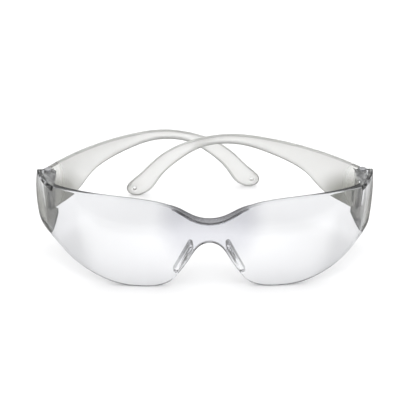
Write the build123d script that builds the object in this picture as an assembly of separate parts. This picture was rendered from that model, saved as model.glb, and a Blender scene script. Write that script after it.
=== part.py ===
from build123d import *
import os
from math import atan, cos, degrees, pi

# Frameless safety glasses: one clear wraparound lens with its nose bridge, nose pads and hinge
# lugs moulded in, and two frosted temples that fold on steel hinge pins.
# Everything is first drawn in lens axes: X across the face, Y from the front of the lens towards
# the wearer, Z up from the lowest point of the lens. The last step moves it to the part's origin.

# ---- driving dimensions, mm and degrees ----
HALF_WIDTH = 75.0  # centre line to the outside of the lens at the hinge end
WRAP_DEPTH = 44.0  # front of the eye zones to the rear edge of the lens
LENS_THICK = 2.2
OVERRUN = 1.12  # the uncut shape runs on this far past the rear edge, as a share of each side
APEX_X = 24.0  # where each eye zone comes furthest forward
BRIDGE_RECESS = 2.5  # how far the bridge lies behind the eye zones
LENS_LEAN = 0.045  # backward slope of the front, mm per mm of height
LENS_BULGE_R = 75.0  # radius of the lens seen from the side
BULGE_Z = 12.0  # height of that bulge at the front
BULGE_RISE = 14.0  # how much higher the bulge sits at the hinge end
END_CORNER_R = 3.0
STATIONS = 18  # points along each half of the lens, for a smooth loft
RING_HEIGHTS = (-2, 9, 20, 31, 42)

BROW_DEPTH = 5.2  # front to back, at the middle of the bridge
BROW_TALL = 1.6
BROW_HALF = 17.0

PAD_TOP = (6.5, 17.2)  # where a pad leaves the lens: distance from the middle, height
PAD_FOOT = (13.7, 5.4)
PAD_THICK = 1.8
PAD_CORNER_R = 2.0
PAD_RAKE = 3.6  # how much further forward the foot of a pad's rear edge is than its top
PAD_REACH = 11.0  # furthest a pad stands back from the front of the lens
PAD_SPLAY = 0.03  # outward lean of a pad, mm per mm of depth

PIN_X = 69.5
PIN_Y = 43.0
PIN_R = 0.8
PIN_HEAD_R = 1.7
PIN_HEAD_TALL = 0.7
RUNNING_CLEARANCE = 0.05
LUG_TALL = 2.4
LUG_EDGE_X = 65.8  # straight inner edge of both lugs
LUG_FRONT_Y = 24.0
LUG_BOSS_R = 2.4
UPPER_LUG_TOP = 35.6
LOWER_LUG_BOTTOM = 15.0
LUG_GAP = 0.25  # between a lug and the end of the temple's barrel
PIN_TAIL = 0.3  # the pin stands this far below the lower lug

TEMPLE_THICK = 2.8
TEMPLE_CHORD = 108.0  # chord over which the temple bows
TEMPLE_REACH = 116.0  # chord of the blank, before the tip is cut to shape
TEMPLE_BOW = 13.7  # outward bow of the temple, seen from above
TEMPLE_OFFSET = 4.9  # the temple's chord starts this far outside the pin
TEMPLE_SET_BACK = 2.0  # and this far behind it
BARREL_R = 2.1
CORD_HOLE_R = 1.0
CORD_HOLE_AT = (110.8, 4.0)  # distance along the chord, height
LEFT_REST = 30.6  # angle between the temple's chord and the X axis, half folded
RIGHT_REST = 24.6

# ---- outlines ----
# Front view of the lens, from the middle to one side: distance from the middle, height.
LENS_BOTTOM = [(0, 19.2), (4.5, 17.7), (8.4, 12.6), (12.7, 6.5), (16.2, 2.6), (20.5, 0.7),
               (28, 0), (38, 0.9), (50.5, 5.3), (60, 10.4), (66, 14), (70, 15), (80, 15)]
LENS_TOP = [(0, 27.8), (4.5, 28.5), (8.5, 30.4), (12.6, 33), (17, 35.2), (25, 37.2),
            (38, 38.5), (50, 38.7), (60, 37.8), (66, 36.5), (71, 35.7), (80, 35.5)]
# Side view of a temple: distance along the chord, height. The upper edge runs over the tip to its
# lowest point, and the lower edge runs from there back to the hinge.
TEMPLE_UPPER = [(0.8, 34.4), (22, 34.8), (40, 34.9), (54, 34.8), (67.5, 34), (82.5, 30.3), (96, 23.7),
                (103.5, 17), (109.5, 10.2), (114, 3.5), (112.6, 0.9), (108.4, 0)]
TEMPLE_LOWER = [(108.4, 0), (104.4, 2.4), (100, 8.8), (90.5, 19.2), (81, 25.7), (71, 28.6), (60.5, 29.2),
                (49, 27.6), (37, 25.1), (27.5, 21.5), (19.5, 16.1), (11, 14.1), (0.8, 13.4)]


# ---- lens ----
def side_curve(t):
    """Plan of the lens from an eye zone's foremost point (t = 0) to the rear edge (t = 1)."""
    controls = [(APEX_X, 0), (54, 0), (69.5, 12), (HALF_WIDTH, WRAP_DEPTH)]
    weights = [(1 - t) ** 3, 3 * (1 - t) ** 2 * t, 3 * (1 - t) * t * t, t**3]
    return tuple(sum(w * c[i] for w, c in zip(weights, controls)) for i in (0, 1))


def plan_point(s):
    """Plan of the lens: s is 0 at the middle, 1 at an eye zone's front and 2 at the rear edge."""
    side = 1 if s >= 0 else -1
    if abs(s) < 1:
        return s * APEX_X, BRIDGE_RECESS * (0.5 + 0.5 * cos(pi * s))
    x, y = side_curve(abs(s) - 1)
    return side * x, y


def lens_point(s, z, depth):
    """A point on the lens, depth mm behind its outer surface."""
    step = 0.001
    (xa, ya), (xb, yb) = plan_point(s - step), plan_point(s + step)
    length = ((xb - xa) ** 2 + (yb - ya) ** 2) ** 0.5
    inward = (-(yb - ya) / length, (xb - xa) / length)
    x, y = plan_point(s)
    wrap = min(abs(y) / WRAP_DEPTH, 1)
    bulge = (z - BULGE_Z - BULGE_RISE * wrap) ** 2 / (2 * LENS_BULGE_R) + depth
    lean = LENS_LEAN * z * (1 - wrap)
    return Vector(x + inward[0] * bulge, y + inward[1] * bulge + lean, z)


def behind_surface(depth):
    """Everything behind the surface that lies depth mm inside the lens's outer face."""
    rings = []
    stations = [2 * OVERRUN * i / STATIONS for i in range(-STATIONS, STATIONS + 1)]
    for z in RING_HEIGHTS:
        front = Spline(*[lens_point(s, z, depth) for s in stations])
        back = Line(front @ 1, front @ 0)
        rings.append(Wire([front, back]))
    return Solid.make_loft(rings)


def prism_along_y(outline_edges):
    """An outline in X and Z, drawn out along Y through the whole lens."""
    face = make_face(Plane.XZ * Curve(outline_edges))
    return extrude(face, 120, both=True)


def mirrored(half):
    """A half outline and its mirror image, as one run of points from left to right."""
    return [(-x, z) for x, z in reversed(half) if x > 0] + half


def lens_outline():
    bottom = Spline(*mirrored(LENS_BOTTOM))
    top = Spline(*mirrored(LENS_TOP))
    return [bottom, top, Line(bottom @ 0, top @ 0), Line(bottom @ 1, top @ 1)]


def end_trim():
    """Side view of the lens: cut square at the rear edge, with the lower corner rounded."""
    low = LENS_BOTTOM[-1][1]
    with BuildSketch(Plane.YZ) as sketch:
        with BuildLine():
            front = Polyline((WRAP_DEPTH, low + END_CORNER_R), (WRAP_DEPTH, 60), (-20, 60), (-20, -20),
                             (WRAP_DEPTH - 20, -20), (WRAP_DEPTH - 20, low),
                             (WRAP_DEPTH - END_CORNER_R, low))
            RadiusArc(front @ 1, front @ 0, END_CORNER_R)
        make_face()
    return extrude(sketch.sketch, 100, both=True)


def brow_bar(outer):
    """The thickened top edge across the nose bridge, before the lens outline trims its top."""
    middle_back = lens_point(0, LENS_TOP[0][1], 0).Y + BROW_DEPTH
    end_back = lens_point(BROW_HALF / APEX_X, LENS_TOP[4][1], LENS_THICK).Y
    with BuildSketch() as plan:
        with BuildLine():
            ThreePointArc((-BROW_HALF, end_back), (0, middle_back), (BROW_HALF, end_back))
            Polyline((BROW_HALF, end_back), (BROW_HALF, 0), (-BROW_HALF, 0), (-BROW_HALF, end_back))
        make_face()
    below = Pos(0, 0, -BROW_TALL) * prism_along_y(lens_outline())
    return (extrude(plan.sketch, RING_HEIGHTS[-1]) & outer) - below


def nose_pad(side, outer):
    """A pad blade that stands back and outwards from the edge of the nose opening."""
    (top_x, top_z), (foot_x, foot_z) = PAD_TOP, PAD_FOOT
    with BuildSketch(Plane.XZ) as blade:
        with BuildLine():
            Polyline((side * top_x, top_z), (side * foot_x, foot_z),
                     (side * (foot_x + PAD_THICK), foot_z + 0.9),
                     (side * (top_x + PAD_THICK), top_z + 1.2), (side * top_x, top_z))
        make_face()
    high, low = top_z + 5, foot_z - 3
    with BuildSketch(Plane.YZ) as profile:
        with BuildLine():
            Polyline((0, high), (PAD_REACH, high), (PAD_REACH, top_z - 1), (PAD_REACH - PAD_RAKE, low),
                     (0, low), (0, high))
        make_face()
        fillet(profile.vertices().sort_by(Axis.Y)[-2:], PAD_CORNER_R)
    pad = extrude(blade.sketch, 2 * PAD_REACH, dir=Vector(side * PAD_SPLAY, 1, 0))
    return pad & extrude(profile.sketch, HALF_WIDTH, both=True) & outer


def lug_plate(side, z, outer):
    """One flat hinge lug in the corner of the lens, with a boss round the pin."""
    edge, rear = side * LUG_EDGE_X, PIN_Y + 1
    with BuildSketch() as plan:
        with BuildLine():
            Polyline((edge, LUG_FRONT_Y), (edge, PIN_Y), (side * PIN_X, rear), (side * HALF_WIDTH, rear),
                     (side * HALF_WIDTH, LUG_FRONT_Y), (edge, LUG_FRONT_Y))
        make_face()
        with Locations((side * PIN_X, PIN_Y)):
            Circle(LUG_BOSS_R)
    return (Pos(0, 0, z) * extrude(plan.sketch, LUG_TALL)) & outer


def make_lens():
    outer = behind_surface(0)
    inner = behind_surface(LENS_THICK)
    lens = ((outer - inner) + brow_bar(outer)) & prism_along_y(lens_outline()) & end_trim()
    for side in (-1, 1):
        lens += nose_pad(side, outer)
        for z in (LOWER_LUG_BOTTOM, UPPER_LUG_TOP - LUG_TALL):
            lens += lug_plate(side, z, outer)
        pin_hole = Cylinder(PIN_R, 60)
        lens -= Pos(side * PIN_X, PIN_Y, 20) * pin_hole
    return lens


# ---- temples and pins, drawn for the right side: the chord runs along -X, the pin is at 0 ----
def bow_arc(offset):
    """Plan of a temple face: a parabola that bows away from the lens."""
    slope = 4 * TEMPLE_BOW / TEMPLE_CHORD
    end = slope * TEMPLE_REACH * (1 - TEMPLE_REACH / TEMPLE_CHORD)
    middle = slope * TEMPLE_REACH / 2
    return Bezier((0, offset), (-TEMPLE_REACH / 2, offset + middle), (-TEMPLE_REACH, offset + end))


def side_prism():
    """The side view of a temple, drawn out along Y."""
    upper = Spline(*[(-r, z) for r, z in TEMPLE_UPPER])
    lower = Spline(*[(-r, z) for r, z in TEMPLE_LOWER])
    hinge_end = Line(lower @ 1, upper @ 0)
    return prism_along_y([upper, lower, hinge_end])


def cord_hole():
    """The retainer-cord hole, square to the temple where it lies."""
    along, height = CORD_HOLE_AT
    slope = 4 * TEMPLE_BOW / TEMPLE_CHORD * (1 - 2 * along / TEMPLE_CHORD)
    bow = 4 * TEMPLE_BOW * along / TEMPLE_CHORD * (1 - along / TEMPLE_CHORD)
    turn = degrees(atan(-slope))
    return Pos(-along, bow, height) * Rot(0, 0, turn) * Rot(90, 0, 0) * Cylinder(CORD_HOLE_R, 12)


def knuckle_plan():
    """The barrel round the pin and the web that joins it to the temple."""
    web_start = (-0.5, BARREL_R - 0.1)
    with BuildSketch() as plan:
        Circle(BARREL_R)
        with BuildLine():
            Polyline(web_start, (-TEMPLE_SET_BACK - 0.8, TEMPLE_OFFSET + 1.4),
                     (-TEMPLE_SET_BACK - 5, TEMPLE_OFFSET + 2.2), (-BARREL_R, 0), web_start)
        make_face()
    return plan.sketch


def make_temple():
    inside, outside = bow_arc(-TEMPLE_THICK / 2), bow_arc(TEMPLE_THICK / 2)
    ends = [Line(inside @ 0, outside @ 0), Line(inside @ 1, outside @ 1)]
    strip = extrude(make_face([inside, outside] + ends), 50)
    arm = strip & side_prism()
    arm = Pos(-TEMPLE_SET_BACK, TEMPLE_OFFSET, 0) * (arm - cord_hole())
    barrel_low = LOWER_LUG_BOTTOM + LUG_TALL + LUG_GAP
    barrel_tall = UPPER_LUG_TOP - LUG_TALL - LUG_GAP - barrel_low
    barrel = Pos(0, 0, barrel_low) * extrude(knuckle_plan(), barrel_tall)
    return arm + barrel - Pos(0, 0, 25) * Cylinder(PIN_R + RUNNING_CLEARANCE, 60)


def hinge_pin():
    low = LOWER_LUG_BOTTOM - PIN_TAIL
    pin = Pos(0, 0, low) * extrude(Circle(PIN_R), UPPER_LUG_TOP - low)
    head = Pos(0, 0, UPPER_LUG_TOP) * extrude(Circle(PIN_HEAD_R), PIN_HEAD_TALL)
    rim = head.edges().sort_by(Axis.Z)[-1]
    return pin + fillet(rim, PIN_HEAD_TALL * 0.7)


def placed(shape, side, angle=0.0):
    """Move a piece drawn round the pin to its hinge, turned open from the X axis by angle."""
    if side < 0:
        shape = mirror(shape, about=Plane.YZ)
        return Pos(-PIN_X, PIN_Y, 0) * Rot(0, 0, angle) * shape
    return Pos(PIN_X, PIN_Y, 0) * Rot(0, 0, -angle) * shape


def build():
    return {
        "lens": make_lens(),
        "left_temple": placed(make_temple(), -1, LEFT_REST),
        "right_temple": placed(make_temple(), 1, RIGHT_REST),
        "left_hinge_pin": placed(hinge_pin(), -1),
        "right_hinge_pin": placed(hinge_pin(), 1),
    }


nodes = build()
box = Compound(children=[Compound(list(piece.solids())) for piece in nodes.values()]).bounding_box()
# the part's origin: middle of its footprint, on the surface it stands on
shift = Pos(-box.center().X, -box.center().Y, -box.min.Z)
os.makedirs("parts", exist_ok=True)
for name, piece in nodes.items():
    export_step(shift * piece, f"parts/{name}.step")
print("size", box.size, "moved by", shift.position)
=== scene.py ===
"""Frameless wraparound safety glasses: the looks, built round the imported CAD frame.

The lens and the two temples are rebuilt as fine, smoothly rounded meshes on the same design as their CAD
nodes. The two steel pins are the CAD nodes themselves. Shapes are worked out in lens axes, in
millimetres, as in the CAD source, and placed in the row frame by the position of the pins.
"""
import math

import bmesh
import bpy
import numpy as np
from mathutils import Matrix, Vector


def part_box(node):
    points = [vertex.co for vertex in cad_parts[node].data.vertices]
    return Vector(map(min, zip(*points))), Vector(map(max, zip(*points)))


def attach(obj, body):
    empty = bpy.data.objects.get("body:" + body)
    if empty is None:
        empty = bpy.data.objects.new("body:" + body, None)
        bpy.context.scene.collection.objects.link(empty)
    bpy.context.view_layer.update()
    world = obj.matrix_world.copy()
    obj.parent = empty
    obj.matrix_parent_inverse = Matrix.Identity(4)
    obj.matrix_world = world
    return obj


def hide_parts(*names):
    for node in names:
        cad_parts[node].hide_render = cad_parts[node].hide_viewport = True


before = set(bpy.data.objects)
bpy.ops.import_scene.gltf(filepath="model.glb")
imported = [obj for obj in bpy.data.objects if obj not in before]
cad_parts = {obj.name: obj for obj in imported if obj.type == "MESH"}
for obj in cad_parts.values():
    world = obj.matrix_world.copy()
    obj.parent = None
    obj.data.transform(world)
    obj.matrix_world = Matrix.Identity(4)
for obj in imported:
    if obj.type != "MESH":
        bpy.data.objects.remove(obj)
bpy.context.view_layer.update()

# ---- design values, mm and degrees, in lens axes ----
MM = 0.001
HALF_WIDTH, WRAP_DEPTH, LENS_THICK = 75.0, 44.0, 2.2
APEX_X, BRIDGE_RECESS, LENS_LEAN = 24.0, 2.5, 0.045
LENS_BULGE_R, BULGE_Z, BULGE_RISE = 75.0, 12.0, 14.0
PLAN_HANDLES = (54, 0), (69.5, 12)  # control points between an eye zone's front and the rear edge
END_CORNER_R = 3.0
SKIN = 0.015  # how far inside the CAD surface the visual lens starts
RIM_R = 0.45  # rounding along every edge of the lens
RIM_STEPS = 5
BROW_EXTRA, BROW_TALL, BROW_HALF = 3.0, 1.6, 17.0
BROW_LEDGE = 0.5  # height over which the brow bar runs out into the lens at its underside
LEDGE_ROWS = 9  # mesh rows over that ledge
LEDGE_SPREAD = 0.55  # how far they reach to either side of its middle, as a share of it
LEDGE_MARGIN = 0.3  # from the lowest of them to the first row of the plain wall
BAR_ROWS = 2  # mesh rows between the ledge and the rounding along the top
FIRST_HEIGHT = 20  # the height at which every point of the lens mesh starts
SETTLING_ROUNDS = 12  # how often it is then moved
PAD_TOP, PAD_FOOT = (6.5, 17.2), (13.7, 5.4)
PAD_THICK, PAD_REACH, PAD_SPLAY, PAD_RAKE = 1.8, 11.0, 0.03, 3.6
PAD_FRONT = 1.6  # where a pad starts, inside the lens
PAD_SLANT = 1.0  # how much higher its outer side is than its inner side
PAD_ROUNDING = 0.7
PIN_X, PIN_Y, PIN_R = 69.5, 43.0, 0.8
LUG_TALL, LUG_EDGE_X, LUG_FRONT_Y, LUG_BOSS_R = 2.4, 65.8, 24.0, 2.4
LUG_BOSS_FORWARD = 0.4  # how far in front of the pin the lug's rounded end is centred
LUG_BOSS_TURN = 150, 60  # where that rounded end starts and stops
LUG_EDGE_SHORT = 1  # how far in front of the pin the lug's straight inner edge stops
LUG_ROOT = 1.62, 1.985  # the stretch of the plan where a lug is rooted in the wall
UPPER_LUG_TOP, LOWER_LUG_BOTTOM, LUG_GAP = 35.6, 15.0, 0.25
PIN_HOLE_EASE, PIN_HOLE_PAST = 0.04, 2  # the hole's extra radius, and how far it is cut past both lugs
TEMPLE_THICK, TEMPLE_CHORD, TEMPLE_BOW = 2.8, 108.0, 13.7
TEMPLE_OFFSET, TEMPLE_SET_BACK = 4.9, 2.0
TEMPLE_EDGE_R = 0.9
TEMPLE_EDGE_STEPS = 6
TEMPLE_CROWN = 0.45  # how much thinner the blade is along its edges than in the middle
BARREL_R, RUNNING_CLEARANCE = 2.1, 0.05
WEB_NEAR, WEB_FAR = (0.9, 1.2), (4.6, 1.6)  # corners of the web in the blade, from where its chord starts
WEB_START, WEB_OVERLAP = 0.5, 0.1  # its corner by the pin, and how far it runs into the barrel
CORD_HOLE_R, CORD_HOLE_AT = 1.0, (110.8, 4.0)
BLOCK_ROUNDING, CYLINDER_ROUNDING = 0.3, 0.02  # edge radii of the lugs and webs, and of round parts
REST_ANGLE = {"left": 30.6, "right": 24.6}  # between a temple's chord and the X axis, half folded

# Front view of the lens, from the middle to one side: distance from the middle, height.
LENS_BOTTOM = [(0, 19.2), (4.5, 17.7), (8.4, 12.6), (12.7, 6.5), (16.2, 2.6), (20.5, 0.7),
               (28, 0), (38, 0.9), (50.5, 5.3), (60, 10.4), (66, 14), (70, 15), (80, 15)]
LENS_TOP = [(0, 27.8), (4.5, 28.5), (8.5, 30.4), (12.6, 33), (17, 35.2), (25, 37.2),
            (38, 38.5), (50, 38.7), (60, 37.8), (66, 36.5), (71, 35.7), (80, 35.5)]
# Side view of a temple: distance along its chord, height, over the tip and back.
TEMPLE_UPPER = [(0.8, 34.4), (22, 34.8), (40, 34.9), (54, 34.8), (67.5, 34), (82.5, 30.3), (96, 23.7),
                (103.5, 17), (109.5, 10.2), (114, 3.5), (112.6, 0.9), (108.4, 0)]
TEMPLE_LOWER = [(108.4, 0), (104.4, 2.4), (100, 8.8), (90.5, 19.2), (81, 25.7), (71, 28.6), (60.5, 29.2),
                (49, 27.6), (37, 25.1), (27.5, 21.5), (19.5, 16.1), (11, 14.1), (0.8, 13.4)]

# Material slots: the broad faces and the knuckles, and the rims, lugs, pads and holes. The second slot's
# darker tint is painted shade along the edges.
FACE, EDGE = 0, 1

low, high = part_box("left_hinge_pin")
SHIFT_Y = (low.y + high.y) / 2 / MM - PIN_Y  # from lens axes to the row frame
SMOOTH_BELOW = math.radians(38)
ROUND_ABOVE = math.radians(30)  # edges sharper than this are rounded
MERGE_DISTANCE = 2e-6  # metres


def to_row(points):
    """Lens axes in mm to the row frame in metres."""
    moved = np.asarray(points, float) + (0, SHIFT_Y, 0)
    return moved * MM


# ---- curves ----
def spline(points, count=900):
    """A natural cubic spline through the points, by chord length, as count samples."""
    p = np.array(points, float)
    h = np.hypot(*np.diff(p, axis=0).T)
    t = np.concatenate([[0], np.cumsum(h)])
    n = len(p)
    a = np.eye(n)
    b = np.zeros((n, 2))
    for i in range(1, n - 1):
        a[i, i - 1:i + 2] = h[i - 1], 2 * (h[i - 1] + h[i]), h[i]
        b[i] = 6 * ((p[i + 1] - p[i]) / h[i] - (p[i] - p[i - 1]) / h[i - 1])
    m = np.linalg.solve(a, b)
    u = np.linspace(0, t[-1], count)
    i = np.clip(np.searchsorted(t, u) - 1, 0, n - 2)
    left, right, w = (u - t[i])[:, None], (t[i + 1] - u)[:, None], h[i][:, None]
    return (m[i] * right**3 + m[i + 1] * left**3) / (6 * w) + (
        (p[i] / w - m[i] * w / 6) * right + (p[i + 1] / w - m[i + 1] * w / 6) * left)


def mirrored(half):
    return [(-x, z) for x, z in reversed(half) if x > 0] + half


BOTTOM_LINE, TOP_LINE = spline(mirrored(LENS_BOTTOM)), spline(mirrored(LENS_TOP))


def fillet_depth(edge, radius):
    """How far a rounded edge has dropped at a distance edge from the outline."""
    e = np.minimum(edge, radius)
    return radius - np.sqrt(np.maximum(radius**2 - (radius - e)**2, 0))


def fillet_steps(radius, steps):
    """Distances from the outline that divide a quarter round evenly."""
    return [radius * (1 - math.cos(math.pi / 2 * k / steps)) for k in range(steps + 1)]


# ---- the lens wall ----
def plan(s):
    """Plan of the lens: 0 at the middle, 1 at an eye zone's front, 2 at the rear edge."""
    a, side = np.abs(s), np.where(s < 0, -1, 1)
    t = np.maximum(a - 1, 0)
    corners = [(APEX_X, 0), *PLAN_HANDLES, (HALF_WIDTH, WRAP_DEPTH)]
    weights = [(1 - t)**3, 3 * (1 - t)**2 * t, 3 * (1 - t) * t * t, t**3]
    x = side * sum(w * c[0] for w, c in zip(weights, corners))
    y = sum(w * c[1] for w, c in zip(weights, corners))
    front = a < 1
    x = np.where(front, s * APEX_X, x)
    y = np.where(front, BRIDGE_RECESS * (0.5 + 0.5 * np.cos(np.pi * np.minimum(a, 1))), y)
    return x, y


def wall(s, z, depth):
    """A point of the lens, depth mm behind its outer surface."""
    step = 0.001
    (xa, ya), (xb, yb) = plan(s - step), plan(s + step)
    length = np.hypot(xb - xa, yb - ya)
    nx, ny = -(yb - ya) / length, (xb - xa) / length
    x, y = plan(s)
    wrap = np.clip(np.abs(y) / WRAP_DEPTH, 0, 1)
    bulge = (z - BULGE_Z - BULGE_RISE * wrap)**2 / (2 * LENS_BULGE_R) + depth
    return x + nx * bulge, y + ny * bulge + LENS_LEAN * z * (1 - wrap)


def brow(x, below_top):
    """Extra thickness of the moulded brow bar, which fades out to either side."""
    across = np.maximum(1 - (x / BROW_HALF)**2, 0)
    down = np.clip(0.5 + (BROW_TALL - below_top) / BROW_LEDGE, 0, 1)
    return BROW_EXTRA * across * down * down * (3 - 2 * down)


def lens_face(inner, spans=210, rows=44):
    """The outer or the inner face of the lens as a grid of points, with rounded edges.

    The places of the points depend on each other, so they are settled over a number of rounds."""
    steps = fillet_steps(RIM_R, RIM_STEPS)
    ledge = BROW_TALL + BROW_LEDGE * np.linspace(LEDGE_SPREAD, -LEDGE_SPREAD, LEDGE_ROWS)
    bar = np.linspace(ledge[-1], RIM_R, BAR_ROWS + 2)[1:-1]
    below_top = np.concatenate([[ledge[0] + LEDGE_MARGIN], ledge, bar])
    core = np.linspace(0, 1, rows)[1:-1]
    up = np.concatenate([np.zeros(len(steps)), core, np.ones(len(below_top) + len(steps))])
    edge_low = np.concatenate([steps, np.full(len(up) - len(steps), RIM_R)])
    edge_high = np.concatenate([np.full(len(steps) + len(core), below_top[0]), below_top, steps[::-1]])
    inside = np.linspace(-1, 1, spans)
    along = np.concatenate([-np.ones(len(steps) - 1), inside, np.ones(len(steps) - 1)])
    edge_rear = np.concatenate([steps[:-1], np.full(spans, RIM_R), steps[:-1][::-1]])
    v, c = up[:, None], along[None, :]
    low_e, high_e, rear_e = edge_low[:, None], edge_high[:, None], edge_rear[None, :]
    round_off = fillet_depth(np.minimum(np.minimum(low_e, high_e), rear_e), RIM_R)
    s, z = 2 * c + 0 * v, FIRST_HEIGHT + 0 * (c + v)
    slope_at_rear = 3 * (WRAP_DEPTH - PLAN_HANDLES[1][1])
    bottom_slope = np.gradient(BOTTOM_LINE[:, 1], BOTTOM_LINE[:, 0])
    top_slope = np.gradient(TOP_LINE[:, 1], TOP_LINE[:, 0])
    for _ in range(SETTLING_ROUNDS):
        x_now = wall(s, z, 0)[0]
        depth = LENS_THICK + brow(x_now, high_e) - round_off if inner else SKIN + round_off
        rear_y = wall(np.sign(c) * 2 + 0 * z, z, depth)[1]
        reach = 2 - (rear_y - WRAP_DEPTH + rear_e) / slope_at_rear
        s = c * reach
        x, y = wall(s, z, depth)
        bottom = np.interp(x, *BOTTOM_LINE.T)
        past = np.clip(y - (WRAP_DEPTH - END_CORNER_R), 0, END_CORNER_R)
        corner = LENS_BOTTOM[-1][1] + END_CORNER_R - np.sqrt(END_CORNER_R**2 - past**2)
        bottom = np.where(y > WRAP_DEPTH / 2, np.maximum(bottom, corner), bottom)
        top = np.interp(x, *TOP_LINE.T)
        lean_low = np.hypot(1, np.interp(x, BOTTOM_LINE[:, 0], bottom_slope))
        lean_high = np.hypot(1, np.interp(x, TOP_LINE[:, 0], top_slope))
        z = (1 - v) * (bottom + low_e * lean_low) + v * (top - high_e * lean_high)
    x, y = wall(s, z, depth)
    return np.stack([x, y, z], axis=-1)


def closed_mesh(name, front, back, rim_rows, rim_cols):
    """One closed mesh from two matching grids, joined round their borders. The border and the rounding
    beside it, rim_rows and rim_cols wide, go in the edge slot."""
    rows, cols = front.shape[:2]
    points = np.concatenate([front.reshape(-1, 3), back.reshape(-1, 3)])
    half = rows * cols

    def at(i, j, layer):
        return layer * half + i * cols + j

    faces, slots = [], []
    for i in range(rows - 1):
        for j in range(cols - 1):
            faces.append((at(i, j, 0), at(i, j + 1, 0), at(i + 1, j + 1, 0), at(i + 1, j, 0)))
            faces.append((at(i, j, 1), at(i + 1, j, 1), at(i + 1, j + 1, 1), at(i, j + 1, 1)))
            inside_rows = rim_rows <= i < rows - 1 - rim_rows
            inside_cols = rim_cols <= j < cols - 1 - rim_cols
            slots += [FACE if inside_rows and inside_cols else EDGE] * 2
    end_row, end_col = rows - 1, cols - 1
    for j in range(end_col):
        faces.append((at(0, j + 1, 0), at(0, j, 0), at(0, j, 1), at(0, j + 1, 1)))
        faces.append((at(end_row, j, 0), at(end_row, j + 1, 0), at(end_row, j + 1, 1), at(end_row, j, 1)))
    for i in range(end_row):
        faces.append((at(i, 0, 0), at(i + 1, 0, 0), at(i + 1, 0, 1), at(i, 0, 1)))
        faces.append((at(i + 1, end_col, 0), at(i, end_col, 0), at(i, end_col, 1), at(i + 1, end_col, 1)))
    return new_mesh(name, points, faces, slots + [EDGE] * (len(faces) - len(slots)))


def new_mesh(name, points, faces, slots=None):
    """A mesh piece with both material slots. Its faces go in the edge slot unless slots is given."""
    mesh = bpy.data.meshes.new(name)
    mesh.from_pydata([tuple(p) for p in to_row(points)], [], faces)
    for _ in (FACE, EDGE):
        mesh.materials.append(None)
    mesh.polygons.foreach_set("material_index", slots or [EDGE] * len(faces))
    bm = bmesh.new()
    bm.from_mesh(mesh)
    bmesh.ops.remove_doubles(bm, verts=bm.verts, dist=MERGE_DISTANCE)
    bmesh.ops.recalc_face_normals(bm, faces=bm.faces)
    bm.to_mesh(mesh)
    bm.free()
    piece = bpy.data.objects.new(name, mesh)
    bpy.context.scene.collection.objects.link(piece)
    return piece


def prism(name, outline, bottom, top, rounding):
    """A plan outline drawn up from bottom to top, with rounded edges."""
    n = len(outline)
    points = [(x, y, bottom) for x, y in outline] + [(x, y, top) for x, y in outline]
    faces = [tuple(range(n - 1, -1, -1)), tuple(range(n, 2 * n))]
    faces += [(i, (i + 1) % n, n + (i + 1) % n, n + i) for i in range(n)]
    piece = new_mesh(name, points, faces)
    return soften(piece, rounding)


def soften(piece, rounding):
    """Rounds every sharp edge of a small block."""
    bm = bmesh.new()
    bm.from_mesh(piece.data)
    sharp = [e for e in bm.edges if e.calc_face_angle(0) > ROUND_ABOVE]
    bmesh.ops.bevel(bm, geom=sharp, offset=rounding * MM, segments=3, affect="EDGES", profile=0.5,
                    clamp_overlap=True)
    bm.to_mesh(piece.data)
    bm.free()
    return piece


def cylinder(name, x, y, bottom, top, radius, sides=48):
    turns = [2 * math.pi * k / sides for k in range(sides)]
    outline = [(x + radius * math.cos(a), y + radius * math.sin(a)) for a in turns]
    return prism(name, outline, bottom, top, CYLINDER_ROUNDING)


def combine(piece, tool, operation):
    """Joins tool to piece, or cuts it away, and removes tool."""
    step = piece.modifiers.new("combine", "BOOLEAN")
    step.operation, step.solver, step.object = operation, "EXACT", tool
    dg = bpy.context.evaluated_depsgraph_get()
    made = bpy.data.meshes.new_from_object(piece.evaluated_get(dg))
    piece.modifiers.clear()
    old, piece.data = piece.data, made
    bpy.data.meshes.remove(old)
    bpy.data.objects.remove(tool)


def finish_shading(piece):
    piece.data.shade_smooth()
    piece.data.set_sharp_from_angle(angle=SMOOTH_BELOW)


def nose_pad(side):
    """A pad blade that stands back and outwards from the edge of the nose opening."""
    (top_x, top_z), (foot_x, foot_z) = PAD_TOP, PAD_FOOT
    points = []
    for x, z, reach in ((top_x, top_z, PAD_REACH), (foot_x, foot_z, PAD_REACH - PAD_RAKE)):
        for y in (PAD_FRONT, reach):
            for thick, rise in ((0, 0), (PAD_THICK, PAD_SLANT)):
                points.append((side * (x + thick + PAD_SPLAY * y), y, z + rise))
    faces = [(0, 1, 3, 2), (4, 6, 7, 5), (0, 2, 6, 4), (1, 5, 7, 3), (0, 4, 5, 1), (2, 3, 7, 6)]
    return soften(new_mesh("pad", points, faces), PAD_ROUNDING)


def lug(side, bottom):
    """A flat hinge lug in the corner of the lens, rooted in the wall."""
    s = np.linspace(*LUG_ROOT, 14)
    x, y = wall(s, bottom + LUG_TALL / 2 + 0 * s, LENS_THICK * 0.5 + 0 * s)
    keep = x > LUG_EDGE_X
    root = list(zip(side * x[keep], y[keep]))
    start = (side * LUG_EDGE_X, max(LUG_FRONT_Y, root[0][1]))
    turns = np.radians(np.linspace(*LUG_BOSS_TURN, 12))
    boss = [(side * (PIN_X - LUG_BOSS_R * math.cos(math.pi - a)),
             PIN_Y + LUG_BOSS_R * math.sin(a) - LUG_BOSS_FORWARD) for a in turns]
    outline = [start] + root + boss[::-1] + [(side * LUG_EDGE_X, PIN_Y - LUG_EDGE_SHORT)]
    return prism("lug", outline, bottom, bottom + LUG_TALL, BLOCK_ROUNDING)


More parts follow.
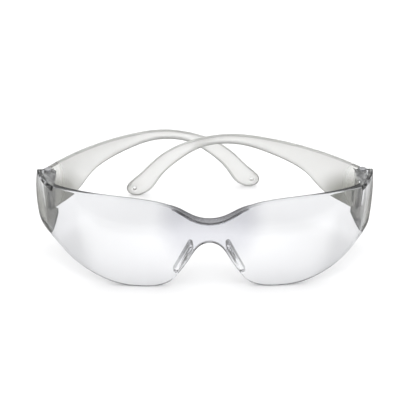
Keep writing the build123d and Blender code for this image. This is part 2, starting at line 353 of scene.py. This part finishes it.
def make_lens():
    piece = closed_mesh("clear_lens", lens_face(inner=False), lens_face(inner=True), RIM_STEPS, RIM_STEPS)
    for side in (-1, 1):
        combine(piece, nose_pad(side), "UNION")
        for bottom in (LOWER_LUG_BOTTOM, UPPER_LUG_TOP - LUG_TALL):
            combine(piece, lug(side, bottom), "UNION")
        bore = cylinder("bore", side * PIN_X, PIN_Y, LOWER_LUG_BOTTOM - PIN_HOLE_PAST,
                        UPPER_LUG_TOP + PIN_HOLE_PAST, PIN_R + PIN_HOLE_EASE)
        combine(piece, bore, "DIFFERENCE")
    finish_shading(piece)
    return piece


# ---- temples, drawn for the right side: the chord runs along -X and the pin is at the origin ----
def side_name(side):
    return "left" if side < 0 else "right"


def bow(along):
    return 4 * TEMPLE_BOW * along / TEMPLE_CHORD * (1 - along / TEMPLE_CHORD)


def place(points, side):
    """From the right-hand drawing to lens axes, for one side, at the rest angle."""
    p = np.array(points, float)
    p[:, 0] *= side
    turn = -side * math.radians(REST_ANGLE[side_name(side)])
    x = p[:, 0] * math.cos(turn) - p[:, 1] * math.sin(turn) + side * PIN_X
    y = p[:, 0] * math.sin(turn) + p[:, 1] * math.cos(turn) + PIN_Y
    return np.stack([x, y, p[:, 2]], axis=1)


def temple_outline(stations):
    """The upper and lower edge of a temple at matching stations from the hinge to the tip."""
    line = np.concatenate([spline(TEMPLE_UPPER)[:-1], spline(TEMPLE_LOWER)])
    tip = int(np.argmax(line[:, 0]))
    ease = np.sin(np.linspace(0, math.pi / 2, stations))

    def walk(edge):
        t = np.concatenate([[0], np.cumsum(np.hypot(*np.diff(edge, axis=0).T))])
        return np.stack([np.interp(ease * t[-1], t, edge[:, k]) for k in (0, 1)], axis=1)

    return walk(line[:tip + 1]), walk(line[tip:][::-1])


def inset(edge, other, distance):
    """An edge moved square to itself, towards the other edge."""
    run = np.gradient(edge, axis=0)
    normal = np.stack([-run[:, 1], run[:, 0]], axis=1)
    normal /= np.linalg.norm(normal, axis=1)[:, None]
    middle = len(edge) // 2
    if np.dot(normal[middle], other[middle] - edge[middle]) < 0:
        normal = -normal
    normal[-1] = (-1, 0)
    return edge + normal * distance


def temple_blade(side, name, stations=150, rows=16):
    upper, lower = temple_outline(stations)
    steps = fillet_steps(TEMPLE_EDGE_R, TEMPLE_EDGE_STEPS)
    bands = [(inset(lower, upper, e), e, 1) for e in steps]
    low_in, high_in = inset(lower, upper, TEMPLE_EDGE_R), inset(upper, lower, TEMPLE_EDGE_R)
    for v in np.linspace(0, 1, rows)[1:-1]:
        bands.append((low_in + (high_in - low_in) * v, TEMPLE_EDGE_R, abs(2 * v - 1)))
    bands += [(inset(upper, lower, e), e, 1) for e in reversed(steps)]
    faces = []
    for face in (-1, 1):
        grid = []
        for band, e, off_middle in bands:
            half = TEMPLE_THICK / 2 - fillet_depth(e, TEMPLE_EDGE_R) - TEMPLE_CROWN * off_middle**2
            r, z = band[:, 0], band[:, 1]
            y = bow(r) + face * half + TEMPLE_OFFSET
            grid.append(place(np.stack([-r - TEMPLE_SET_BACK, y, z], axis=1), side))
        faces.append(np.array(grid))
    return closed_mesh(name, *faces, TEMPLE_EDGE_STEPS, 0)


def knuckle(side):
    """The web that joins the barrel to the blade, and the barrel round the pin."""
    bottom, top = LOWER_LUG_BOTTOM + LUG_TALL + LUG_GAP, UPPER_LUG_TOP - LUG_TALL - LUG_GAP
    in_blade = [(-TEMPLE_SET_BACK - along, TEMPLE_OFFSET + out) for along, out in (WEB_NEAR, WEB_FAR)]
    web = [(-WEB_START, BARREL_R - WEB_OVERLAP), *in_blade, (-BARREL_R + WEB_OVERLAP, 0)]
    plan_points = place([(x, y, 0) for x, y in web], side)[:, :2]
    piece = prism("knuckle", [tuple(p) for p in plan_points], bottom, top, BLOCK_ROUNDING)
    barrel = cylinder("barrel", side * PIN_X, PIN_Y, bottom, top, BARREL_R)
    combine(piece, barrel, "UNION")
    piece.data.polygons.foreach_set("material_index", [FACE] * len(piece.data.polygons))
    return piece


def cord_hole(side):
    along, height = CORD_HOLE_AT
    sides, reach = 40, 5
    slope = 4 * TEMPLE_BOW / TEMPLE_CHORD * (1 - 2 * along / TEMPLE_CHORD)
    across = np.array([1, -slope, 0]) / math.hypot(1, slope)
    out = np.array([slope, 1, 0]) / math.hypot(1, slope)
    centre = np.array([-along - TEMPLE_SET_BACK, bow(along) + TEMPLE_OFFSET, height])
    ring = [across * math.cos(a) + np.array([0, 0, 1]) * math.sin(a)
            for a in np.linspace(0, 2 * math.pi, sides, endpoint=False)]
    points = [centre + CORD_HOLE_R * q + out * d for d in (-reach, reach) for q in ring]
    faces = [tuple(range(sides - 1, -1, -1)), tuple(range(sides, 2 * sides))]
    faces += [(i, (i + 1) % sides, sides + (i + 1) % sides, sides + i) for i in range(sides)]
    return new_mesh("hole", place(points, side), faces)


def make_temple(side):
    piece = temple_blade(side, side_name(side) + "_temple_frosted")
    combine(piece, knuckle(side), "UNION")
    combine(piece, cord_hole(side), "DIFFERENCE")
    bore = cylinder("bore", side * PIN_X, PIN_Y, LOWER_LUG_BOTTOM, UPPER_LUG_TOP, PIN_R + RUNNING_CLEARANCE)
    combine(piece, bore, "DIFFERENCE")
    finish_shading(piece)
    return piece


# ---- materials ----
POLYCARBONATE_IOR = 1.585
# Tints from the darkest to the lightest part of each pattern.
LENS_TINT = (0.80, 0.805, 0.82), (0.83, 0.835, 0.845)
# Painted shade: the darker tint of the lens rims, lugs, pads and holes, where clear edges look grey.
LENS_EDGE_PAINTED_SHADE = (0.64, 0.65, 0.67), (0.72, 0.73, 0.745)
# Painted shade: grey over the bridge, and a near-black band along the brow bar's edge.
BRIDGE_PAINTED_SHADE, BRIDGE_EDGE_PAINTED_SHADE = (0.62, 0.625, 0.66), (0.08, 0.08, 0.085)
# Painted shade: dark olive grey in the lens by each hinge, on the faces and the edges.
LENS_HINGE_PAINTED_SHADE, LENS_HINGE_EDGE_PAINTED_SHADE = (0.42, 0.42, 0.39), (0.20, 0.20, 0.185)
TEMPLE_TINT = (0.88, 0.88, 0.86), (0.93, 0.93, 0.915)
# Painted shade: the darker tint along the temples' rounded edges.
TEMPLE_EDGE_PAINTED_SHADE = (0.56, 0.56, 0.535), (0.66, 0.66, 0.64)
# Painted shade: dark grey low on each temple's knuckle and the blade beside it.
TEMPLE_HINGE_PAINTED_SHADE = (0.36, 0.36, 0.325)
STEEL_TINT = (0.30, 0.30, 0.31), (0.46, 0.46, 0.47)
PAPER_TINT = (0.93, 0.93, 0.93), (0.95, 0.95, 0.95)
# Where grey shade is painted on the plastic: the heights of the centres in mm, how far each axis counts
# towards the distance from them, and the distances in metres over which the painted shade fades out.
BRIDGE_MIDDLE_Z = 30
BRIDGE_AXES, BRIDGE_FADE = (1, 0, 1), (0.014, 0.026)
LENS_HINGE_Z = LOWER_LUG_BOTTOM + 4
LENS_HINGE_AXES, LENS_HINGE_FADE = (1, 0.5, 0.7), (0.006, 0.013)
TEMPLE_HINGE_AXES, TEMPLE_HINGE_FADE = (0.6, 0.6, 1), (0.009, 0.019)
# Each temple is polished within this many mm of the middle of its pin, and frosted beyond.
POLISHED_PATCH = {"left": 14.5, "right": 12.5}
PATCH_EDGE = 0.001
# Roughness, from one end of each pattern or patch to the other.
LENS_ROUGH, TEMPLE_ROUGH, STEEL_ROUGH, PAPER_ROUGH = (0.015, 0.035), (0.06, 0.42), (0.22, 0.42), 0.9
LENS_CLEAR, TEMPLE_CLEAR = 1.0, 0.85  # how much light gets into the plastic
GRAIN_STRENGTH, GRAIN_DEPTH = 0.12, 0.0002  # the frosted surface's grain, its depth in metres
STEEL_STRETCH = (1, 1, 14)  # squeezes the steel's noise into lines round the pin
MIX_SHARE, MIX_A, MIX_B, MIX_COLOUR = 0, 6, 7, 2  # a colour mix node's sockets


def new_material(name):
    material = bpy.data.materials.new(name)
    material.use_nodes = True
    return material, material.node_tree.nodes, material.node_tree.links


def ramp(nodes, stops):
    node = nodes.new("ShaderNodeValToRGB")
    elements = node.color_ramp.elements
    while len(elements) < len(stops):
        elements.new(0.5)
    for element, (place_at, colour) in zip(elements, stops):
        element.position = place_at
        element.color = (*colour, 1)
    return node


def pattern(nodes, links, value, dark, light, start=0.3, end=0.7):
    """A noise value as a colour, dark below start and light above end."""
    node = ramp(nodes, [(start, dark), (end, light)])
    links.new(value, node.inputs["Fac"])
    return node.outputs["Color"]


def spread(nodes, links, value, low_value, high_value):
    """A value from 0 to 1 as a number from low_value to high_value."""
    node = nodes.new("ShaderNodeMapRange")
    node.inputs["To Min"].default_value = low_value
    node.inputs["To Max"].default_value = high_value
    links.new(value, node.inputs["Value"])
    return node.outputs["Result"]


def noise(nodes, links, vector, scale, detail=3.0):
    node = nodes.new("ShaderNodeTexNoise")
    node.inputs["Scale"].default_value = scale
    node.inputs["Detail"].default_value = detail
    links.new(vector, node.inputs["Vector"])
    return node.outputs["Fac"]


def lens_material(name, dark, light, painted_bridge_shade, painted_hinge_shade):
    """Polished clear polycarbonate, with very fine moulding flow and wiping haze, and painted grey shade
    over the bridge and by each hinge.
    """
    material, nodes, links = new_material(name)
    shader = nodes["Principled BSDF"]
    shader.inputs["IOR"].default_value = POLYCARBONATE_IOR
    shader.inputs["Transmission Weight"].default_value = LENS_CLEAR
    where = nodes.new("ShaderNodeTexCoord").outputs["Object"]
    flow = noise(nodes, links, where, scale=18.0, detail=1.0)
    off_bridge = distance(nodes, links, where, (0, PIN_Y, BRIDGE_MIDDLE_Z), BRIDGE_AXES)
    share = fade(nodes, links, off_bridge, *BRIDGE_FADE, 0, 1)
    colour = blend_colours(nodes, links, share, painted_bridge_shade, pattern(nodes, links, flow, dark, light))
    for side in (-1, 1):
        off_hinge = distance(nodes, links, where, (side * PIN_X, PIN_Y, LENS_HINGE_Z), LENS_HINGE_AXES)
        share = fade(nodes, links, off_hinge, *LENS_HINGE_FADE, 0, 1)
        colour = blend_colours(nodes, links, share, painted_hinge_shade, colour)
    links.new(colour, shader.inputs["Base Color"])
    haze = spread(nodes, links, noise(nodes, links, where, scale=40.0, detail=2.0), *LENS_ROUGH)
    links.new(haze, shader.inputs["Roughness"])
    return material


def distance(nodes, links, where, point, scale):
    """Distance from a point given in lens axes, with each axis scaled."""
    stretch = nodes.new("ShaderNodeVectorMath")
    stretch.operation = "MULTIPLY"
    stretch.inputs[1].default_value = scale
    links.new(where, stretch.inputs[0])
    away = nodes.new("ShaderNodeVectorMath")
    away.operation = "DISTANCE"
    away.inputs[1].default_value = Vector(to_row([point])[0] * scale)
    links.new(stretch.outputs["Vector"], away.inputs[0])
    return away.outputs["Value"]


def blend_colours(nodes, links, share, plain, varied):
    """From a plain colour at share 0 to a varied one at share 1."""
    mix = nodes.new("ShaderNodeMix")
    mix.data_type = "RGBA"
    mix.inputs[MIX_A].default_value = (*plain, 1)
    links.new(share, mix.inputs[MIX_SHARE])
    links.new(varied, mix.inputs[MIX_B])
    return mix.outputs[MIX_COLOUR]


def fade(nodes, links, value, start, end, low_value, high_value):
    """A smooth step of value from low_value at start to high_value at end."""
    node = nodes.new("ShaderNodeMapRange")
    node.interpolation_type = "SMOOTHSTEP"
    node.inputs["From Min"].default_value = start
    node.inputs["From Max"].default_value = end
    node.inputs["To Min"].default_value = low_value
    node.inputs["To Max"].default_value = high_value
    links.new(value, node.inputs["Value"])
    return node.outputs["Result"]


def temple_material(side, name, dark, light, painted_hinge_shade):
    """Translucent grey polycarbonate: frosted, polished by the hinge, with painted grey shade low on the
    hinge.
    """
    material, nodes, links = new_material(name)
    shader = nodes["Principled BSDF"]
    shader.inputs["IOR"].default_value = POLYCARBONATE_IOR
    shader.inputs["Transmission Weight"].default_value = TEMPLE_CLEAR
    where = nodes.new("ShaderNodeTexCoord").outputs["Object"]
    cloud = noise(nodes, links, where, scale=55.0)
    low_on_hinge = (side * PIN_X, PIN_Y, LOWER_LUG_BOTTOM)
    off_hinge = distance(nodes, links, where, low_on_hinge, TEMPLE_HINGE_AXES)
    share = fade(nodes, links, off_hinge, *TEMPLE_HINGE_FADE, 0, 1)
    colour = blend_colours(nodes, links, share, painted_hinge_shade, pattern(nodes, links, cloud, dark, light))
    links.new(colour, shader.inputs["Base Color"])
    patch = POLISHED_PATCH[side_name(side)] * MM
    middle = (UPPER_LUG_TOP + LOWER_LUG_BOTTOM) / 2
    from_pin = distance(nodes, links, where, (side * PIN_X, PIN_Y, middle), (1, 1, 1))
    frost = fade(nodes, links, from_pin, patch, patch + PATCH_EDGE, *TEMPLE_ROUGH)
    links.new(frost, shader.inputs["Roughness"])
    bump = nodes.new("ShaderNodeBump")
    bump.inputs["Strength"].default_value = GRAIN_STRENGTH
    bump.inputs["Distance"].default_value = GRAIN_DEPTH
    links.new(noise(nodes, links, where, scale=2600.0, detail=2.0), bump.inputs["Height"])
    links.new(bump.outputs["Normal"], shader.inputs["Normal"])
    return material


def pin_material():
    """Drawn steel with fine turned lines round the pin and slightly darker patches."""
    material, nodes, links = new_material("drawn_steel")
    shader = nodes["Principled BSDF"]
    shader.inputs["Metallic"].default_value = 1.0
    where = nodes.new("ShaderNodeTexCoord").outputs["Object"]
    stretch = nodes.new("ShaderNodeMapping")
    stretch.inputs["Scale"].default_value = STEEL_STRETCH
    links.new(where, stretch.inputs["Vector"])
    lines = noise(nodes, links, stretch.outputs["Vector"], scale=900.0)
    colour = pattern(nodes, links, lines, *STEEL_TINT, start=0.35, end=0.65)
    links.new(colour, shader.inputs["Base Color"])
    links.new(spread(nodes, links, lines, *STEEL_ROUGH), shader.inputs["Roughness"])
    return material


def dress(piece, *materials):
    """Fills the piece's material slots in order."""
    while len(piece.material_slots) < len(materials):
        piece.data.materials.append(None)
    for place_at, material in enumerate(materials):
        piece.material_slots[place_at].material = material


# ---- studio ----
FLOOR_SIZE = 8


def make_floor():
    bpy.ops.mesh.primitive_plane_add(size=FLOOR_SIZE, location=(0, 0, 0))
    floor = bpy.context.object
    floor.name = "floor"
    material, nodes, links = new_material("white_paper")
    shader = nodes["Principled BSDF"]
    shader.inputs["Roughness"].default_value = PAPER_ROUGH
    where = nodes.new("ShaderNodeTexCoord").outputs["Object"]
    grain = noise(nodes, links, where, scale=40.0)
    links.new(pattern(nodes, links, grain, *PAPER_TINT), shader.inputs["Base Color"])
    dress(floor, material)
    floor.visible_glossy = False  # reflections see the dimmer studio, as past a sheet of paper


# How bright the studio is, and the white sheet in front of the lens that glows in its reflections.
STUDIO_LIGHT, SHEET_LIGHT = 1.58, 2.0
# Grey from straight down, at 0, past the level, at 0.5, to straight up, at 1: dim walls, bright diffuser.
SKY = [(0.0, (0.16, 0.16, 0.16)), (0.45, (0.12, 0.12, 0.12)), (0.60, (0.10, 0.10, 0.10)),
       (0.78, (0.95, 0.95, 0.96)), (1.0, (1.0, 1.0, 1.0))]
# The sheet fades out upwards and towards the sides, over these parts of a direction's Z and Y.
SHEET_TOP, SHEET_SIDE = (-0.16, 0.10), (-0.78, -0.30)


def make_studio():
    """A dim room round a bright overhead diffuser, with a white sheet low in front of the lens."""
    world = bpy.data.worlds.new("studio")
    bpy.context.scene.world = world
    world.use_nodes = True
    nodes, links = world.node_tree.nodes, world.node_tree.links
    where = nodes.new("ShaderNodeTexCoord").outputs["Generated"]
    split = nodes.new("ShaderNodeSeparateXYZ")
    links.new(where, split.inputs["Vector"])
    height = nodes.new("ShaderNodeMapRange")
    height.inputs["From Min"].default_value = -1
    links.new(split.outputs["Z"], height.inputs["Value"])
    sky = ramp(nodes, SKY)
    links.new(height.outputs["Result"], sky.inputs["Fac"])
    low_down = fade(nodes, links, split.outputs["Z"], *SHEET_TOP, SHEET_LIGHT, 0)
    in_front = fade(nodes, links, split.outputs["Y"], *SHEET_SIDE, 1, 0)
    sheet = nodes.new("ShaderNodeMath")
    sheet.operation = "MULTIPLY"
    links.new(low_down, sheet.inputs[0])
    links.new(in_front, sheet.inputs[1])
    light = nodes.new("ShaderNodeVectorMath")
    links.new(sky.outputs["Color"], light.inputs[0])
    links.new(sheet.outputs["Value"], light.inputs[1])
    links.new(light.outputs["Vector"], nodes["Background"].inputs["Color"])
    nodes["Background"].inputs["Strength"].default_value = STUDIO_LIGHT
    bpy.context.scene.view_settings.view_transform = "Standard"


# The camera: its distance in mm, its angles in degrees, its lens and sensor, and the point it looks at.
CAMERA_AWAY, CAMERA_UP, CAMERA_TURN, CAMERA_ROLL = 600, 25.5, 3.37, 1.27
LENS_MM, SENSOR_MM = 117.5, 36
LOOK_AT = (0.8, PIN_Y - 6.7, 20)


def make_camera():
    up, turn = math.radians(CAMERA_UP), math.radians(CAMERA_TURN)
    forward = Vector((math.sin(turn) * math.cos(up), math.cos(turn) * math.cos(up), -math.sin(up)))
    target = Vector(to_row([LOOK_AT])[0])
    camera = bpy.data.objects.new("camera", bpy.data.cameras.new("camera"))
    bpy.context.scene.collection.objects.link(camera)
    camera.data.lens = LENS_MM
    camera.data.sensor_width = SENSOR_MM
    facing = forward.to_track_quat("-Z", "Y").to_matrix().to_4x4()
    roll = Matrix.Rotation(math.radians(CAMERA_ROLL), 4, "Z")
    camera.matrix_world = Matrix.Translation(target - forward * CAMERA_AWAY * MM) @ facing @ roll
    bpy.context.scene.camera = camera


make_camera()
make_studio()
make_floor()

lens = make_lens()
# The rims' material is darker throughout as painted shade.
dress(lens, lens_material("clear_polycarbonate", *LENS_TINT, BRIDGE_PAINTED_SHADE, LENS_HINGE_PAINTED_SHADE),
      lens_material("lens_edge_painted_shade", *LENS_EDGE_PAINTED_SHADE, BRIDGE_EDGE_PAINTED_SHADE, LENS_HINGE_EDGE_PAINTED_SHADE))
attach(lens, "lens")
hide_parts("lens")

for temple_side in (-1, 1):
    body = side_name(temple_side) + "_temple"
    temple = make_temple(temple_side)
    frosted = temple_material(temple_side, "frosted_" + body, *TEMPLE_TINT, TEMPLE_HINGE_PAINTED_SHADE)
    # The edge material's darker tint is painted shade along the rims.
    dress(temple, frosted, temple_material(temple_side, "edge_" + body, *TEMPLE_EDGE_PAINTED_SHADE, TEMPLE_HINGE_PAINTED_SHADE))
    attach(temple, body)
    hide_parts(body)

steel = pin_material()
for pin in ("left_hinge_pin", "right_hinge_pin"):
    dress(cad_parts[pin], steel)
